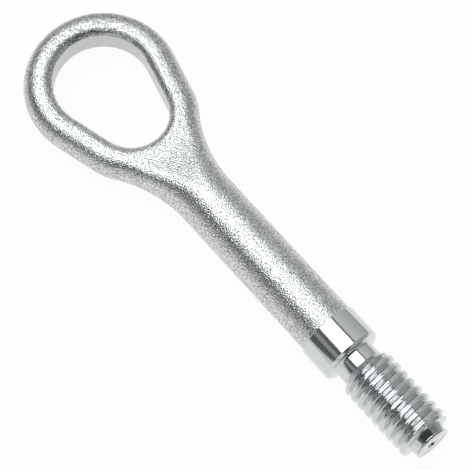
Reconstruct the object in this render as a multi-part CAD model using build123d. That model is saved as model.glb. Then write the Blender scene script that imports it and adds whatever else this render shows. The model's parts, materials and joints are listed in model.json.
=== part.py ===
from build123d import *
import os
from math import acos, asin, cos, degrees, radians, sin, tan

# A screw-in tow eye: one steel forging with a turned collar and a rolled round thread.
# The shank lies along X with the thread at +X, the eye lies flat in XY, and +Z is up.
# The origin is on the axis, in the shoulder that seats against the car. Millimetres.

# Eye, from the centre of the large end of its pear-shaped hole
eye_to_shoulder = 119.4
hole_large_radius = 15.7
hole_small_radius = 12.0
hole_centre_distance = 14.5
bar_width = 9.3
eye_thickness = 11.7
hole_land_height = 8.0
hole_edge_radius = 3.7
hole_edge_lip = 0.03

# Forged form: how far its outer edges are rounded, and the yoke that joins the two arms to the shank
edge_rounding = 5.4
edge_fullness = 0.552
yoke_radius = 43.0
yoke_flat_length = 3.0
crown_flat = 1.8
crown_fullness = 0.47

# Shank and turned collar
shank_diameter = 18.9
collar_diameter = 20.2
collar_length = 11.5
collar_tip_chamfer = 0.7
collar_step_chamfer = 0.25

# Neck, thread and tip
neck_diameter = 14.0
neck_length = 5.0
neck_bevel = 0.8
thread_diameter = 18.0
thread_pitch = 3.175
thread_depth = 1.2
thread_root_flat = 0.5
thread_crest_flat = 1.0
thread_length = 28.0
groove_start = 1.2
tip_shoulder_angle = 85.0
tip_root_diameter = 13.0
tip_waist_diameter = 11.4
tip_waist_length = 2.5
tip_rim_length = 0.75
tip_face_diameter = 12.4
centre_sink_diameter = 4.4
centre_hole_diameter = 2.0
centre_hole_depth = 3.5
centre_sink_angle = 60.0

# How finely the yoke and the hole's edge are drawn, and how near the middle a face has to be to lie in it
yoke_sections = 8
hole_edge_facets = 3
flush = 0.001

shank_radius = shank_diameter / 2
large_end = -eye_to_shoulder
small_end = large_end + hole_centre_distance
outer_large_radius = hole_large_radius + bar_width
outer_small_radius = hole_small_radius + bar_width
side_slope = asin((hole_large_radius - hole_small_radius) / hole_centre_distance)
yoke_side = shank_radius + yoke_radius
yoke_turn = acos(yoke_side / (outer_small_radius + yoke_radius))
shank_start = small_end + yoke_side * tan(yoke_turn)
rise_start = small_end + hole_small_radius + yoke_flat_length


def rise(x):
    """How far the forging has swelled from the flat eye, at 0, to the round shank, at 1."""
    share = min(max((x - rise_start) / (shank_start - rise_start), 0), 1)
    return share**2 * (3 - 2 * share)


def half_height(x):
    """Half the forging's thickness at x."""
    return eye_thickness / 2 + (shank_radius - eye_thickness / 2) * rise(x)


def half_section(x, turn, width):
    """An upright section from the middle at x to the round edge, turned from +Y towards +X."""
    rounding = edge_rounding + (shank_radius - crown_flat - edge_rounding) * rise(x)
    fullness = edge_fullness + (crown_fullness - edge_fullness) * rise(x)
    flat = width - rounding
    middle = half_height(x)
    shoulder = half_height(x + flat * sin(turn))
    upper = Bezier((flat, shoulder), (flat + fullness * rounding, shoulder),
                   (width, fullness * shoulder), (width, 0))
    lower = Bezier((width, 0), (width, -fullness * shoulder),
                   (flat + fullness * rounding, -shoulder), (flat, -shoulder))
    ends = Polyline((flat, -shoulder), (0, -middle), (0, middle), (flat, shoulder))
    plane = Plane(origin=(x, 0, 0), x_dir=(sin(turn), cos(turn), 0), z_dir=(cos(turn), -sin(turn), 0))
    return plane * make_face([upper, lower, ends])


def pear_outline(height, margin):
    """The outline of the hole with a margin round it: two arcs joined by straight sides."""
    large_radius = hole_large_radius + margin
    small_radius = hole_small_radius + margin
    large_side = Vector(large_end + large_radius * sin(side_slope), large_radius * cos(side_slope))
    small_side = Vector(small_end + small_radius * sin(side_slope), small_radius * cos(side_slope))
    large_other = Vector(large_side.X, -large_side.Y)
    small_other = Vector(small_side.X, -small_side.Y)
    outline = [
        ThreePointArc(large_side, (large_end - large_radius, 0), large_other),
        Line(large_other, small_other),
        ThreePointArc(small_other, (small_end + small_radius, 0), small_side),
        Line(small_side, large_side),
    ]
    return Plane.XY.offset(height) * make_face(outline)


def forged_half():
    """Half of the forging, on +Y: the bar round the hole, the yoke that swells, and half the shank."""
    large_section = half_section(large_end, side_slope, outer_large_radius)
    small_section = half_section(small_end, side_slope, outer_small_radius)
    large_turn = degrees(side_slope) + 90
    small_turn = degrees(yoke_turn - side_slope)
    large_arc = revolve(large_section, axis=Axis((large_end, 0, 0), (0, 0, 1)), revolution_arc=large_turn)
    arm = loft([large_section, small_section], ruled=True)
    small_arc = revolve(small_section, axis=Axis((small_end, 0, 0), (0, 0, -1)), revolution_arc=small_turn)
    sections = []
    for i in range(yoke_sections + 1):
        turn = yoke_turn * (1 - i / yoke_sections)
        middle = shank_start - yoke_side * tan(turn)
        sections.append(half_section(middle, turn, yoke_side / cos(turn) - yoke_radius))
    yoke = loft(sections, ruled=True)
    shank = loft([sections[-1], half_section(-collar_length / 2, 0, shank_radius)], ruled=True)
    return large_arc + arm + small_arc + yoke + shank


def hole_cutter():
    """What the piercing takes out: an upright plug that flares to a round at both edges of the hole."""
    land = hole_land_height / 2
    arc_centre = eye_thickness / 2 + hole_edge_lip - hole_edge_radius
    land_turn = acos((land - arc_centre) / hole_edge_radius)
    rings = []
    for i in range(hole_edge_facets + 1):
        turn = land_turn * (1 - i / hole_edge_facets)
        height = arc_centre + hole_edge_radius * cos(turn)
        rings.append(pear_outline(height, hole_edge_radius * (sin(land_turn) - sin(turn))))
    plug = extrude(pear_outline(-land, 0), amount=hole_land_height)
    flare = loft(rings, ruled=True)
    return plug + flare + flare.mirror(Plane.XY)


def pierced_half():
    """The half with its hole."""
    return forged_half() - hole_cutter()


def whole_forging():
    """Both halves sewn into one body along the middle."""
    half = pierced_half().solid()
    skin = half.faces().filter_by(lambda face: face.center().Y > flush)
    return Solid(Shell(skin + [face.mirror(Plane.XZ) for face in skin]))


def turned_collar():
    """Collar with its crisp step and chamfer, and the first half of the neck below the shoulder."""
    collar_radius = collar_diameter / 2
    neck_radius = neck_diameter / 2
    outline = Polyline(
        (-collar_length, 0),
        (-collar_length, collar_radius - collar_step_chamfer),
        (-collar_length + collar_step_chamfer, collar_radius),
        (-collar_tip_chamfer, collar_radius),
        (0, collar_radius - collar_tip_chamfer),
        (0, neck_radius + neck_bevel),
        (neck_bevel, neck_radius),
        (neck_length / 2, neck_radius),
        (neck_length / 2, 0),
        close=True,
    )
    return revolve(make_face(outline), axis=Axis.X)


def threaded_end():
    """The rest of the neck, the thread and the waisted tip with its drilled centre."""
    neck_radius = neck_diameter / 2
    root_radius = tip_root_diameter / 2
    sink_radius = centre_sink_diameter / 2
    hole_radius = centre_hole_diameter / 2
    shoulder_slope = tan(radians(tip_shoulder_angle))
    sink_depth = (sink_radius - hole_radius) / tan(radians(centre_sink_angle / 2))
    tip_root = neck_length + thread_length + (thread_diameter / 2 - root_radius) / shoulder_slope
    waist = tip_root + tip_waist_length
    tip = waist + tip_rim_length
    stock_radius = thread_diameter / 2 + thread_depth
    outline = Polyline(
        (neck_length / 2, 0),
        (neck_length / 2, neck_radius),
        (neck_length, neck_radius),
        (neck_length + stock_radius - neck_radius, stock_radius),
        (tip_root - (stock_radius - root_radius) / shoulder_slope, stock_radius),
        (tip_root, root_radius),
        (waist, tip_waist_diameter / 2),
        (tip, tip_face_diameter / 2),
        (tip, sink_radius),
        (tip - sink_depth, hole_radius),
        (tip - centre_hole_depth, hole_radius),
        (tip - centre_hole_depth - hole_radius, 0),
        close=True,
    )
    return revolve(make_face(outline), axis=Axis.X) & threaded_rod(tip)


def threaded_rod(tip):
    """A plain rod with one long right-hand helical groove, longer at both ends than the thread it gives."""
    radius = thread_diameter / 2
    length = tip + thread_pitch - groove_start
    rod = Plane.YZ.offset(groove_start - thread_pitch) * Circle(radius)
    helix = Helix(thread_pitch, length, radius, center=(groove_start, 0, 0), direction=(1, 0, 0))
    mouth = (thread_pitch - thread_crest_flat) / 2
    flank_run = (mouth - thread_root_flat / 2) / thread_depth
    clear = thread_crest_flat / 4
    flank = [(mouth + clear * flank_run, clear), (thread_root_flat / 2, -thread_depth)]
    groove = flank + [(-along, depth) for along, depth in reversed(flank)]
    outward = helix @ 0 - Vector(groove_start, 0, 0)
    across = Plane(origin=helix @ 0, x_dir=(1, 0, 0), z_dir=Vector(1, 0, 0).cross(outward))
    profile = across * make_face(Polyline(*groove, close=True))
    return extrude(rod, amount=length + 2 * thread_pitch) - sweep(profile, path=helix, is_frenet=True)


os.makedirs("parts", exist_ok=True)
export_step(whole_forging() + turned_collar() + threaded_end(), "parts/tow_eye.step")
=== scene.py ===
import json
from math import acos, asin, atan2, cos, degrees, pi, radians, sin, tan

import bmesh
import bpy
import numpy as np
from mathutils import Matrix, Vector, noise


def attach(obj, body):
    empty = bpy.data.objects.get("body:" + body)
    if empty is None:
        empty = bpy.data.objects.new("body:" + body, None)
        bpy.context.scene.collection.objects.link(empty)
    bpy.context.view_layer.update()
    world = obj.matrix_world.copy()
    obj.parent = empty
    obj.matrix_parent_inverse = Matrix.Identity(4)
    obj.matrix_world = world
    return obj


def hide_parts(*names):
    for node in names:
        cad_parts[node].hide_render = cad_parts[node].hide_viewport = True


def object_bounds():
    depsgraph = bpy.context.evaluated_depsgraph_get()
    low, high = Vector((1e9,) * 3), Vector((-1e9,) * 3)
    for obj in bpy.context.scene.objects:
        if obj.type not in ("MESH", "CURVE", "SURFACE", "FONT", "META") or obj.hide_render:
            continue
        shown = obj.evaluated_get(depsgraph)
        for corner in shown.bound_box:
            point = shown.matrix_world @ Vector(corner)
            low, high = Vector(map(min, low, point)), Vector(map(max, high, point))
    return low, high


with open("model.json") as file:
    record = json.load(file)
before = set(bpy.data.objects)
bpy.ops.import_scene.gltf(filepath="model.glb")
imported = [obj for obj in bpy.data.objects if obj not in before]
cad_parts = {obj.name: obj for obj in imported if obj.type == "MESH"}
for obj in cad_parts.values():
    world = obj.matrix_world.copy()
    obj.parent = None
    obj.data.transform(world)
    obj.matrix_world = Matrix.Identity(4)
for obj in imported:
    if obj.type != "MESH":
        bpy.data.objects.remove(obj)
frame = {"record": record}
cad_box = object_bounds()

# Forged eye and shank: a steel bar drop-forged into a pear-shaped ring that swells into a round shank.
# The hole is pierced and keeps a smooth upright land, the rest is shot-blasted, and all is plated bright.
# It is one piece of steel with the collar and the thread.
mm = 0.001
mounts = {mount["name"]: mount for mount in frame["record"]["mounts"]}
eye_dims = mounts["eye"]["dims"]
large_end = mounts["eye"]["pos_m"][0]
half_eye = eye_dims["length_mm"] * mm / 2
hole_large = eye_dims["r_mm"] * mm
hole_small = 12.0 * mm
hole_centre_distance = 14.5 * mm
bar_width = cad_box[1][1] - hole_large
land_half = 4.0 * mm
hole_edge_radius = 3.7 * mm
hole_edge_lip = 0.03 * mm
edge_rounding = 5.4 * mm
edge_fullness = 0.552
crown_flat = 0.4 * mm
shank_radius = 9.45 * mm
yoke_radius = 43.0 * mm
yoke_flat_length = 3.0 * mm
split_after_rise = 4.0 * mm
collar_radius = mounts["collar"]["dims"]["r_mm"] * mm
collar_length = 11.5 * mm
collar_overlap = 1.0 * mm

# How finely the skin is drawn
cell = 0.40 * mm
shank_cells = 2 * int(pi * shank_radius / cell / 2)
ray_cells = 30
arc_cells = 12
land_cells = 12
tries_per_cell = 40
curve_points = 300
weld_distance = 0.002 * mm
forged_crease = radians(18)

small_end = large_end + hole_centre_distance
outer_small = hole_small + bar_width
side_slope = asin((hole_large - hole_small) / hole_centre_distance)
yoke_side = shank_radius + yoke_radius
yoke_turn = acos(yoke_side / (outer_small + yoke_radius))
shank_start = small_end + yoke_side * tan(yoke_turn)
shank_end = -collar_length + collar_overlap
rise_start = small_end + hole_small + yoke_flat_length
split = rise_start + split_after_rise
arc_centre = half_eye + hole_edge_lip - hole_edge_radius
land_turn = acos((land_half - arc_centre) / hole_edge_radius)
top_turn = acos((half_eye - arc_centre) / hole_edge_radius)


def rise(x):
    """How far the forging has swelled from the flat eye, at 0, to the round shank, at 1."""
    share = np.clip((x - rise_start) / (shank_start - rise_start), 0, 1)
    return share**2 * (3 - 2 * share)


def half_height(x):
    """Half the forging's thickness at x."""
    return half_eye + (shank_radius - half_eye) * rise(x)


def half_width(x):
    """Half the forging's width from the yoke to the shank."""
    return yoke_side - np.sqrt(yoke_radius**2 - np.minimum(x - shank_start, 0) ** 2)


def round_edge(depth, rounding, height):
    """Height of the skin at a depth in from the outer edge, which is a quarter of a round."""
    share = np.linspace(0, 1, curve_points)
    rest = 1 - share
    out = 3 * edge_fullness * share * rest**2 + 3 * share**2 * rest + share**3
    return height * np.interp(1 - np.clip(depth / rounding, 0, 1), out, out[::-1])


def yoke_height(x, y):
    """Height of the skin where the arms run together: upright sections fan out from the yoke's centre."""
    back = np.maximum(shank_start - x, 0)
    side = yoke_side - np.abs(y)
    reach = np.hypot(back, side)
    middle = shank_start - yoke_side * back / side
    rounding = edge_rounding + (shank_radius - crown_flat - edge_rounding) * rise(middle)
    return round_edge(reach - yoke_radius, rounding, half_height(np.maximum(x, middle)))


def even_spacing(points, count):
    """The same line with its points spread evenly along it."""
    travelled = np.concatenate([[0], np.cumsum(np.linalg.norm(np.diff(points, axis=0), axis=1))])
    places = np.linspace(0, travelled[-1], count + 1)
    return np.stack([np.interp(places, travelled, points[:, i]) for i in range(3)], 1)


def section_row(x):
    """Points along the upper skin of one section, evenly spaced from edge to edge."""
    across = -half_width(x) * np.cos(np.linspace(0, pi, tries_per_cell * shank_cells))
    along = np.full_like(across, x)
    return even_spacing(np.stack([along, across, yoke_height(along, across)], 1), shank_cells)


def half_rays():
    """Lines in plan from the hole's wall outwards, from the yoke round to the far end of the ring."""
    rays = []
    for y in section_row(split)[shank_cells // 2:, 1]:
        turn = atan2(y, split - small_end)
        rays.append((small_end, hole_small, turn, np.hypot(y, split - small_end) - hole_small))
    last_turn = asin((shank_start - split) / yoke_radius)
    steps = int(yoke_radius * (yoke_turn - last_turn) / cell)
    for lean in np.linspace(last_turn, yoke_turn, steps + 1)[1:]:
        x = shank_start - yoke_radius * sin(lean) - small_end
        y = yoke_side - yoke_radius * cos(lean)
        rays.append((small_end, hole_small, atan2(y, x), np.hypot(x, y) - hole_small))
    yoke_rays = len(rays)
    steps = int((yoke_turn - side_slope) * outer_small / cell)
    for turn in np.linspace(pi / 2 - yoke_turn, pi / 2 - side_slope, steps + 1)[1:]:
        rays.append((small_end, hole_small, turn, bar_width))
    steps = int(hole_centre_distance * cos(side_slope) / cell)
    for share in np.linspace(0, 1, steps + 1)[1:]:
        centre = small_end + (large_end - small_end) * share
        hole = hole_small + (hole_large - hole_small) * share
        rays.append((centre, hole, pi / 2 - side_slope, bar_width))
    steps = int((pi / 2 + side_slope) * (hole_large + bar_width / 2) / cell)
    for turn in np.linspace(pi / 2 - side_slope, pi, steps + 1)[1:]:
        rays.append((large_end, hole_large, turn, bar_width))
    return rays, yoke_rays


def ray_skin(ray, on_yoke):
    """The upper skin along one ray, evenly spaced from the land to the outer edge or the split."""
    centre, hole, turn, length = ray
    lean = np.linspace(land_turn, top_turn, arc_cells + 1)
    arc = hole_edge_radius * (sin(land_turn) - np.sin(lean))
    skin = arc[-1] + (length - arc[-1]) * (1 - (1 - np.linspace(0, 1, tries_per_cell * ray_cells)) ** 2)
    out = np.concatenate([arc[:-1], skin])
    x = centre + (hole + out) * cos(turn)
    y = (hole + out) * sin(turn)
    if on_yoke:
        height = yoke_height(x, y)
    else:
        height = round_edge(bar_width - out, edge_rounding, half_eye)
    height[:arc_cells] = arc_centre + hole_edge_radius * np.cos(lean[:-1])
    line = np.stack([x, y, height], 1)
    return np.concatenate([line[:arc_cells], even_spacing(line[arc_cells:], ray_cells)])


def grid_faces(first, rows, columns, closed):
    """Quads of a grid of points, whose rows may close round on themselves."""
    faces = []
    for row in range(rows - 1):
        for column in range(columns if closed else columns - 1):
            right = (column + 1) % columns
            here = first + row * columns
            faces.append((here + column, here + right, here + columns + right, here + columns + column))
    return faces


class Skin:
    """The points and faces of one piece, gathered patch by patch."""

    def __init__(self):
        self.points = []
        self.faces = []
        self.smooth = []

    def patch(self, grid, closed=False, flip=False, smooth=0.0):
        """Adds a grid of points as quads, and notes how smooth the skin is there."""
        rows, columns = grid.shape[:2]
        quads = grid_faces(len(self.points), rows, columns, closed)
        self.faces += [quad[::-1] for quad in quads] if flip else quads
        self.smooth += [smooth] * len(quads)
        self.points += grid.reshape(-1, 3).tolist()

    def fan(self, ring, centre, flip=False):
        """Closes a ring of points with triangles to its centre."""
        first = len(self.points)
        count = len(ring)
        self.points += [list(point) for point in ring] + [list(centre)]
        wedges = [(first + i, first + (i + 1) % count, first + count) for i in range(count)]
        self.faces += [wedge[::-1] for wedge in wedges] if flip else wedges
        self.smooth += [0.0] * count

    def piece(self, name, crease):
        """The piece itself, with shared points joined and edges sharper than the crease kept sharp."""
        mesh = bpy.data.meshes.new(name)
        mesh.from_pydata(self.points, [], self.faces)
        mesh.attributes.new("smooth_skin", "FLOAT", "FACE").data.foreach_set("value", self.smooth)
        piece = bpy.data.objects.new(name, mesh)
        bpy.context.scene.collection.objects.link(piece)
        weld = bmesh.new()
        weld.from_mesh(mesh)
        bmesh.ops.remove_doubles(weld, verts=weld.verts, dist=weld_distance)
        bmesh.ops.recalc_face_normals(weld, faces=weld.faces)
        weld.to_mesh(mesh)
        weld.free()
        mesh.shade_smooth()
        mesh.set_sharp_from_angle(angle=crease)
        return piece


half, yoke_rays = half_rays()
half_skins = [ray_skin(ray, i < yoke_rays) for i, ray in enumerate(half)]
mirror_y = np.array([1, -1, 1])
mirror_z = np.array([1, 1, -1])
upper = np.array(half_skins + [skin * mirror_y for skin in half_skins[-2:0:-1]])
closed_upper = np.concatenate([upper, upper[:1]])
land_top = upper[:, 0]
land_drop = land_top * mirror_z - land_top
land = np.stack([land_top + land_drop * share for share in np.linspace(0, 1, land_cells + 1)])
shank_rows = np.concatenate([
    np.linspace(split, shank_start, int((shank_start - split) / cell)),
    np.linspace(shank_start, shank_end, int((shank_end - shank_start) / cell))[1:],
])
shank = np.array([section_row(x) for x in shank_rows])
end_ring = np.concatenate([shank[-1], (shank[-1] * mirror_z)[-2:0:-1]])

forging = Skin()
forging.patch(closed_upper)
forging.patch(closed_upper * mirror_z, flip=True)
forging.patch(land, closed=True, smooth=1.0)
forging.patch(shank)
forging.patch(shank * mirror_z, flip=True)
forging.fan(end_ring, (shank_end, 0, 0))
forged_eye = forging.piece("forged_eye", forged_crease)

# The forged skin is faintly uneven, in broad waves and in smaller ones
uneven = 0.02 * mm
broad_waves_per_mm = 0.35
small_waves_per_mm = 0.9
small_wave_share = 0.5
vertices = forged_eye.data.vertices
places = np.empty(3 * len(vertices))
normals = np.empty(3 * len(vertices))
vertices.foreach_get("co", places)
vertices.foreach_get("normal", normals)
swell = []
for place in places.reshape(-1, 3) / mm:
    spot = Vector(place)
    small_wave = noise.noise(spot * small_waves_per_mm)
    swell.append(noise.noise(spot * broad_waves_per_mm) + small_wave_share * small_wave)
places += normals * np.repeat(uneven * np.array(swell), 3)
vertices.foreach_set("co", places)
forged_eye.data.update()


class Value:
    """A socket in a node tree, so that shader maths reads as arithmetic."""

    def __init__(self, nodes, socket):
        self.nodes = nodes
        self.socket = socket

    def math(self, operation, *others):
        """A Math node on this value and others."""
        return self.nodes.add("ShaderNodeMath", {"operation": operation}, dict(enumerate((self, *others))))

    def __add__(self, other):
        return self.math("ADD", other)

    def __sub__(self, other):
        return self.math("SUBTRACT", other)

    def __mul__(self, other):
        return self.math("MULTIPLY", other)

    def __rsub__(self, other):
        return self.nodes.add("ShaderNodeMath", {"operation": "SUBTRACT"}, {0: other, 1: self})

    __radd__ = __add__
    __rmul__ = __mul__


class Nodes:
    """The node tree of a finish, the floor or the studio."""

    def __init__(self, owner):
        owner.use_nodes = True
        self.tree = owner.node_tree
        self.tree.nodes.clear()

    def add(self, kind, settings, sockets, output=0):
        """Adds a node: its settings first, then the values or links of its sockets."""
        node = self.tree.nodes.new(kind)
        for name, setting in settings.items():
            setattr(node, name, setting)
        for key, given in sockets.items():
            if isinstance(given, Value):
                self.tree.links.new(given.socket, node.inputs[key])
            else:
                node.inputs[key].default_value = given
        return Value(self, node.outputs[output]) if node.outputs else node


def plate_colour(nodes, shade, red, blue):
    """Bright plate of this shade, with its red and blue a little off grey."""
    return nodes.add("ShaderNodeCombineColor", {}, {"Red": shade * red, "Green": shade, "Blue": shade * blue})


def leaning_normal(nodes, normal, aside, share):
    """A normal that leans aside by a share of a vector."""
    lean = nodes.add("ShaderNodeVectorMath", {"operation": "SCALE"}, {0: aside, "Scale": share})
    leaning = nodes.add("ShaderNodeVectorMath", {"operation": "ADD"}, {0: normal, 1: lean})
    return nodes.add("ShaderNodeVectorMath", {"operation": "NORMALIZE"}, {0: leaning})


def blasted_finish():
    """Bright plate over a shot-blasted skin: small dimples and flecks, the flecks being random tone with
    painted shade of the blast pits, but a smooth land in the hole.
    """
    dimples_per_metre = 2200
    dimple_slope = 0.44
    # Flecks in the base colour: random tone, darkened in part as painted shade of the blast pits.
    pit_shade_flecks_per_metre = 3800
    pit_shade_contrast = 0.7
    pit_shade_darkening = 0.32
    plate_shade = 0.55
    land_roughness = 0.28
    dimple_gloss = 0.16
    material = bpy.data.materials.new("blasted_plate")
    nodes = Nodes(material)
    spot = nodes.add("ShaderNodeTexCoord", {}, {}, "Object")
    rough_skin = 1 - nodes.add("ShaderNodeAttribute", {"attribute_name": "smooth_skin"}, {}, "Fac")
    middle = nodes.add("ShaderNodeTexVoronoi", {}, {"Vector": spot, "Scale": dimples_per_metre}, "Position")
    offset = nodes.add("ShaderNodeVectorMath", {"operation": "SUBTRACT"}, {0: spot, 1: middle})
    square = nodes.add("ShaderNodeNewGeometry", {}, {}, "Normal")
    normal = leaning_normal(nodes, square, offset, rough_skin * (dimple_slope * dimples_per_metre))
    # Painted shade: these flecks vary the plate's colour at random and darken it in specks for the shade of
    # the blast pits, on the rough skin only.
    pit_shade_fleck = nodes.add("ShaderNodeTexVoronoi", {}, {"Vector": spot, "Scale": pit_shade_flecks_per_metre}, "Color")
    pit_shade_level = nodes.add("ShaderNodeSeparateColor", {}, {0: pit_shade_fleck}, "Blue")
    shade = plate_shade + (pit_shade_level * pit_shade_contrast - pit_shade_darkening) * rough_skin
    shader = nodes.add("ShaderNodeBsdfPrincipled", {}, {
        "Base Color": plate_colour(nodes, shade, red=0.985, blue=1.01),
        "Metallic": 1.0,
        "Roughness": land_roughness - rough_skin * dimple_gloss,
        "Normal": normal,
    })
    nodes.add("ShaderNodeOutputMaterial", {}, {"Surface": shader})
    return material


forged_eye.data.materials.append(blasted_finish())
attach(forged_eye, "root")
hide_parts("tow_eye")

# Collar and neck: turned from the same steel on the end of the shank, smooth and a little larger than it.
# The collar has a crisp step and a bevelled shoulder that seats in the socket's mouth, and the narrow neck
# is where the turning tool ran out.
columns = 240
step_bevel = 0.25 * mm
tip_bevel = 0.7 * mm
neck_radius = 7.0 * mm
neck_length = 5.0 * mm
neck_fillet = 1.2 * mm
fine_edge = 0.08 * mm
collar_inside = shank_radius / 2
turned_crease = radians(40)
tool_lines_per_metre = 9000
tool_line_depth = 0.01 * mm
tool_line_sway = 0.06
collar_roughness = 0.08


def rounded_line(corners, radii, steps=4):
    """A line through the corners, each turned into a small arc."""
    line = [np.array(corners[0])]
    for before, corner, after, radius in zip(corners, corners[1:], corners[2:], radii):
        corner = np.array(corner)
        into = corner - before
        away = np.array(after) - corner
        into_length = np.linalg.norm(into)
        away_length = np.linalg.norm(away)
        half_turn = acos(np.clip(np.dot(into, away) / into_length / away_length, -1, 1)) / 2
        trim = radius * tan(half_turn)
        start = corner - into / into_length * trim
        end = corner + away / away_length * trim
        for share in np.linspace(0, 1, steps + 1):
            line.append((1 - share) ** 2 * start + 2 * share * (1 - share) * corner + share**2 * end)
    line.append(np.array(corners[-1]))
    return np.array(line)


def turned_grid(along, radius):
    """Points of a turned skin: rows along the axis, columns round it."""
    turns = np.linspace(0, 2 * pi, columns, endpoint=False)
    along = np.broadcast_to(np.asarray(along)[:, None], (len(along), columns))
    radius = np.broadcast_to(radius, along.shape)
    return np.stack([along, radius * np.cos(turns), radius * np.sin(turns)], 2)


collar_line = rounded_line(
    [
        (-collar_length, collar_inside),
        (-collar_length, collar_radius - step_bevel),
        (-collar_length + step_bevel, collar_radius),
        (-tip_bevel, collar_radius),
        (0, collar_radius - tip_bevel),
        (0, neck_radius),
        (neck_length, neck_radius),
    ],
    [fine_edge, fine_edge, fine_edge, fine_edge, neck_fillet],
)
collar_grid = turned_grid(collar_line[:, 0], collar_line[:, 1:])
turning = Skin()
turning.patch(collar_grid, closed=True)
turning.fan(collar_grid[0], (-collar_length, 0, 0), flip=True)
turning.fan(collar_grid[-1], (neck_length, 0, 0))
turned_collar = turning.piece("turned_collar", turned_crease)


def turned_finish(name, roughness, lines_per_metre, line_depth, line_sway):
    """Bright plate over a turned or rolled skin: nearly a mirror, with lines round it that sway a little."""
    drift_per_metre = 60
    clouds_per_metre = 260
    cloud_contrast = 0.06
    plate_shade = 0.63
    material = bpy.data.materials.new(name)
    nodes = Nodes(material)
    spot = nodes.add("ShaderNodeTexCoord", {}, {}, "Object")
    stretch = nodes.add("ShaderNodeVectorMath", {"operation": "MULTIPLY"},
                        {0: spot, 1: (lines_per_metre, drift_per_metre, drift_per_metre)})
    lined_skin = 1 - nodes.add("ShaderNodeAttribute", {"attribute_name": "smooth_skin"}, {}, "Fac")
    streaks = {"Vector": stretch, "Scale": 1.0, "Detail": 3.0}
    height = nodes.add("ShaderNodeTexNoise", {}, streaks) * lined_skin
    bump = nodes.add("ShaderNodeBump", {}, {"Strength": 1.0, "Distance": line_depth, "Height": height})
    streak_colour = nodes.add("ShaderNodeTexNoise", {}, streaks, "Color")
    to_one_side = nodes.add("ShaderNodeSeparateColor", {}, {0: streak_colour}, "Green") - 0.5
    tangent = nodes.add("ShaderNodeVectorMath", {"operation": "CROSS_PRODUCT"}, {0: (1, 0, 0), 1: bump})
    cloud = nodes.add("ShaderNodeTexNoise", {}, {"Vector": spot, "Scale": clouds_per_metre, "Detail": 2.0})
    shader = nodes.add("ShaderNodeBsdfPrincipled", {}, {
        "Base Color": plate_colour(nodes, plate_shade + cloud * cloud_contrast, red=0.97, blue=1.01),
        "Metallic": 1.0,
        "Roughness": roughness + cloud * cloud_contrast,
        "Normal": leaning_normal(nodes, bump, tangent, to_one_side * lined_skin * line_sway),
    })
    nodes.add("ShaderNodeOutputMaterial", {}, {"Surface": shader})
    return material


turned_collar.data.materials.append(
    turned_finish("turned_plate", collar_roughness, tool_lines_per_metre, tool_line_depth, tool_line_sway))
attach(turned_collar, "root")
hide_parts("tow_eye")

# Thread and tip: a coarse right-hand round thread rolled into the same steel below the neck and cut off
# square, then a short waisted tip that leads it into the socket. The small drilled centre is left from
# turning the piece between centres.
thread_radius = mounts["thread"]["dims"]["r_mm"] * mm
thread_end = neck_length + mounts["thread"]["dims"]["length_mm"] * mm
thread_pitch = 3.175 * mm
thread_depth = 1.2 * mm
crest_roundness = 0.15
root_narrowness = 3.5
seam_depth = 0.05 * mm
seam_width = 0.05
groove_start = 1.2 * mm
groove_start_turn = 0.75
thread_row_count = 300
tip_row_count = 50
lined_end = thread_end - 0.1 * mm
tip_root = thread_end + 0.22 * mm
tip_root_radius = 6.5 * mm
tip_waist = tip_root + 2.5 * mm
tip_waist_radius = 5.7 * mm
tip_end = tip_waist + 0.75 * mm
tip_radius = 6.2 * mm
sink_radius = 2.2 * mm
sink_half_angle = radians(30)
centre_radius = 1.0 * mm
centre_depth = 3.5 * mm
drill_point_radius = 0.2 * mm
run_in_rounding = 0.3 * mm
cut_off_rounding = 0.05 * mm
tip_root_rounding = 0.25 * mm
waist_rounding = 0.3 * mm
rim_rounding = 0.1 * mm
sink_rounding = 0.12 * mm
streaks_per_metre = 2600
streak_depth = 0.24 * mm
streak_sway = 0.6
thread_roughness = 0.11
sink_bottom = tip_end - (sink_radius - centre_radius) / tan(sink_half_angle)
centre_bottom = tip_end - centre_depth
drill_point = centre_bottom - centre_radius


def thread_skin(along):
    """Radius of the thread along the axis and round it: broad crests with a faint seam, and narrow roots."""
    turns = np.linspace(0, 1, columns, endpoint=False)
    phase = (along[:, None] - groove_start) / thread_pitch - turns + groove_start_turn
    fall = (1 - np.cos(2 * pi * phase)) / 2
    depth = thread_depth * (crest_roundness * fall + (1 - crest_roundness) * fall**root_narrowness)
    seam = seam_depth * np.exp(-fall / (pi * seam_width) ** 2)
    return thread_radius - depth - seam


tip_line = rounded_line(
    [
        (neck_length, neck_radius),
        (neck_length + thread_radius - neck_radius, thread_radius),
        (thread_end, thread_radius),
        (tip_root, tip_root_radius),
        (tip_waist, tip_waist_radius),
        (tip_end, tip_radius),
        (tip_end, sink_radius),
        (sink_bottom, centre_radius),
        (centre_bottom, centre_radius),
        (drill_point, drill_point_radius),
    ],
    [
        run_in_rounding,
        cut_off_rounding,
        tip_root_rounding,
        waist_rounding,
        rim_rounding,
        sink_rounding,
        fine_edge,
        fine_edge,
    ],
)
last_side_row = np.argmax(tip_line[:, 0])
side_line = tip_line[:last_side_row + 1]
end_line = tip_line[last_side_row:]
thread_rows = np.linspace(neck_length, lined_end, thread_row_count)
tip_rows = np.linspace(lined_end, end_line[0, 0], tip_row_count)
rows = np.concatenate([thread_rows, tip_rows[1:]])
envelope = np.interp(rows, side_line[:, 0], side_line[:, 1])
thread_grid = turned_grid(rows, np.minimum(envelope[:, None], thread_skin(rows)))
end_grid = turned_grid(end_line[:, 0], end_line[:, 1:])
rolling = Skin()
rolling.patch(thread_grid[:thread_row_count], closed=True)
rolling.patch(thread_grid[thread_row_count - 1:], closed=True, smooth=1.0)
rolling.patch(end_grid, closed=True, smooth=1.0)
rolling.fan(thread_grid[0], (neck_length, 0, 0), flip=True)
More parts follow.
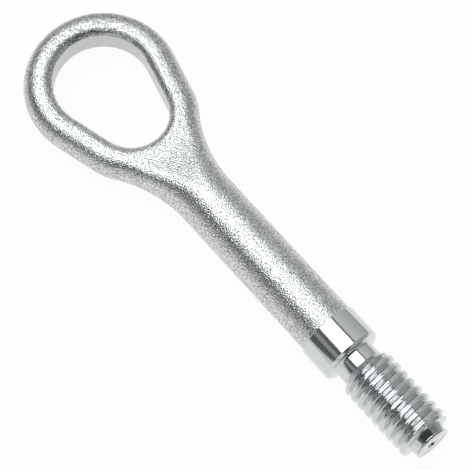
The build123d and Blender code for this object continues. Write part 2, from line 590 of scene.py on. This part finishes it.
rolling.fan(end_grid[-1], (drill_point, 0, 0))
rolled_thread = rolling.piece("rolled_thread", turned_crease)
rolled_thread.data.materials.append(
    turned_finish("rolled_plate", thread_roughness, streaks_per_metre, streak_depth, streak_sway))
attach(rolled_thread, "root")
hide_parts("tow_eye")

# Floor: two sheets of white paper, one across the other, on a grey table. The piece lies on the eye-side
# edge of its collar and on the end of its shank, so the floor leans a little in the piece's own frame,
# and the thinner ring stays clear of it.
collar_rest = (-collar_length + step_bevel, -collar_radius)
shank_rest = (shank_start, -shank_radius)
floor_slope = (collar_rest[1] - shank_rest[1]) / (collar_rest[0] - shank_rest[0])
floor_reach = 6.0
sheet_under_piece = ((-0.002, -0.0445, 0), radians(49.5), (0.076, 0.1515))
sheet_on_near_side = ((-0.03, -0.17, 0), 0, (0.13, 0.17))
sheet_fade = 0.03
table_shade = 0.42
shown_share = 0.95

floor_points = []
for x, y in ((-floor_reach, -floor_reach), (floor_reach, -floor_reach),
             (floor_reach, floor_reach), (-floor_reach, floor_reach)):
    floor_points.append((x, y, collar_rest[1] + (x - collar_rest[0]) * floor_slope))
floor_mesh = bpy.data.meshes.new("white_floor")
floor_mesh.from_pydata(floor_points, [], [(0, 1, 2, 3)])
floor = bpy.data.objects.new("white_floor", floor_mesh)
bpy.context.scene.collection.objects.link(floor)


def past_sheet(nodes, spot, centre, turn, half_size):
    """How far a spot lies past the edge of a sheet of paper."""
    turned = nodes.add("ShaderNodeMapping", {"vector_type": "TEXTURE"},
                       {"Vector": spot, "Location": centre, "Rotation": (0, 0, turn)})
    side = nodes.add("ShaderNodeSeparateXYZ", {}, {0: turned}, "X").math("ABSOLUTE")
    depth = nodes.add("ShaderNodeSeparateXYZ", {}, {0: turned}, "Y").math("ABSOLUTE")
    return (side - half_size[0]).math("MAXIMUM", depth - half_size[1])


def floor_finish():
    """White paper that ends on a grey table, shown to camera and reflections with the shadow left in."""
    material = bpy.data.materials.new("white_paper")
    nodes = Nodes(material)
    spot = nodes.add("ShaderNodeTexCoord", {}, {}, "Object")
    past_first = past_sheet(nodes, spot, *sheet_under_piece)
    past_both = past_first.math("MINIMUM", past_sheet(nodes, spot, *sheet_on_near_side))
    shade = nodes.add("ShaderNodeMapRange", {"interpolation_type": "SMOOTHSTEP"}, {
        "Value": past_both, "From Min": 0, "From Max": sheet_fade, "To Min": 1, "To Max": table_shade})
    colour = nodes.add("ShaderNodeCombineColor", {}, {"Red": shade, "Green": shade, "Blue": shade})
    camera_ray = nodes.add("ShaderNodeLightPath", {}, {}, "Is Camera Ray")
    glossy_ray = nodes.add("ShaderNodeLightPath", {}, {}, "Is Glossy Ray")
    clear_ray = nodes.add("ShaderNodeLightPath", {}, {}, "Is Transmission Ray")
    seen = camera_ray.math("MAXIMUM", glossy_ray).math("MAXIMUM", clear_ray)
    paper = nodes.add("ShaderNodeBsdfDiffuse", {}, {"Color": colour})
    white = nodes.add("ShaderNodeEmission", {}, {"Color": colour, "Strength": 1.0})
    mixed = nodes.add("ShaderNodeMixShader", {}, {0: seen * shown_share, 1: paper, 2: white})
    nodes.add("ShaderNodeOutputMaterial", {}, {"Surface": mixed})
    return material


floor_mesh.materials.append(floor_finish())

# Studio: a wide soft box overhead in a dark room, with a paler stripe on the near side, a grey wall on the
# far side and a dimmer part beyond the tip. A low white card on the near side stands taller towards the tip.
# Edges are in degrees from overhead: across towards the far side, along towards the tip.
soft_box_strength = 2.4
soft_box_near_edge = (-32, -30)
soft_box_far_edge = (20, 23)
soft_box_eye_edge = (-60, -45)
soft_box_tip_edge = (6, 12)
room_strength = 0.12
stripe_strength = 0.24
stripe_low_edge = (-63, -59)
stripe_high_edge = (-48, -44)
far_wall_strength = 0.58
far_wall_edge = (26.5, 31)
far_wall_loss = 0.16
far_wall_fade = (34, 80)
tip_loss = 0.6
tip_loss_edge = (8, 20)
tip_gain = 0.4
tip_gain_edge = (30, 55)
card_strength = 0.9
card_edge = (-60, -40)
light_colour = (0.98, 1, 1, 1)

# The card's height is in degrees above the horizon, and it steps up where a direction turns to +X
card_height = 3
card_step = 20
card_step_edge = (-0.28, 0)
card_blur = (-2, 2)

studio = bpy.data.worlds.new("studio")
bpy.context.scene.world = studio
nodes = Nodes(studio)
direction = nodes.add("ShaderNodeTexCoord", {}, {}, "Generated")
east = nodes.add("ShaderNodeSeparateXYZ", {}, {0: direction}, "X")
north = nodes.add("ShaderNodeSeparateXYZ", {}, {0: direction}, "Y")
upward = nodes.add("ShaderNodeSeparateXYZ", {}, {0: direction}, "Z")
across = north.math("ARCTAN2", upward) * degrees(1)
along = east.math("ARCTAN2", upward) * degrees(1)
elevation = upward.math("ARCSINE") * degrees(1)


def past(value, edge):
    """Rises smoothly from 0 at the start of an edge to 1 at its end."""
    return value.nodes.add("ShaderNodeMapRange", {"interpolation_type": "SMOOTHSTEP"},
                           {"Value": value, "From Min": edge[0], "From Max": edge[1]})


def between(value, first_edge, last_edge):
    """1 between two edges and 0 outside them."""
    return past(value, first_edge) * (1 - past(value, last_edge))


soft_box_width = between(across, soft_box_near_edge, soft_box_far_edge)
soft_box = soft_box_width * between(along, soft_box_eye_edge, soft_box_tip_edge)
stripe = between(across, stripe_low_edge, stripe_high_edge) * stripe_strength
far_wall = past(across, far_wall_edge) * far_wall_strength - past(across, far_wall_fade) * far_wall_loss
towards_tip = 1 - past(along, tip_loss_edge) * tip_loss + past(along, tip_gain_edge) * tip_gain
room = (room_strength + stripe + far_wall) * towards_tip
card_top = card_height + past(east, card_step_edge) * card_step
card = (1 - past(across, card_edge)) * (1 - past(elevation - card_top, card_blur))
dim = room + card * (card_strength - room)
radiance = dim + soft_box * (soft_box_strength - dim)
background = nodes.add("ShaderNodeBackground", {}, {"Color": light_colour, "Strength": radiance})
nodes.add("ShaderNodeOutputWorld", {}, {"Surface": background})

# Camera: a long lens from above and beyond the tip.
camera_centre = Vector((-0.054, 0, 0))
camera_distance = 0.9
camera_azimuth = radians(-40.53)
camera_elevation = radians(68)
back = Vector((
    cos(camera_azimuth) * cos(camera_elevation),
    sin(camera_azimuth) * cos(camera_elevation),
    sin(camera_elevation),
))
camera_data = bpy.data.cameras.new("camera")
camera_data.sensor_width = 36
camera_data.lens = 222.65
camera_data.shift_x = -0.00445
camera_data.shift_y = -0.00668
camera_data.clip_end = 30
camera = bpy.data.objects.new("camera", camera_data)
camera.location = camera_centre + back * camera_distance
camera.rotation_mode = "QUATERNION"
camera.rotation_quaternion = back.to_track_quat("Z", "Y")
bpy.context.scene.collection.objects.link(camera)
bpy.context.scene.camera = camera
bpy.context.scene.view_settings.view_transform = "Standard"
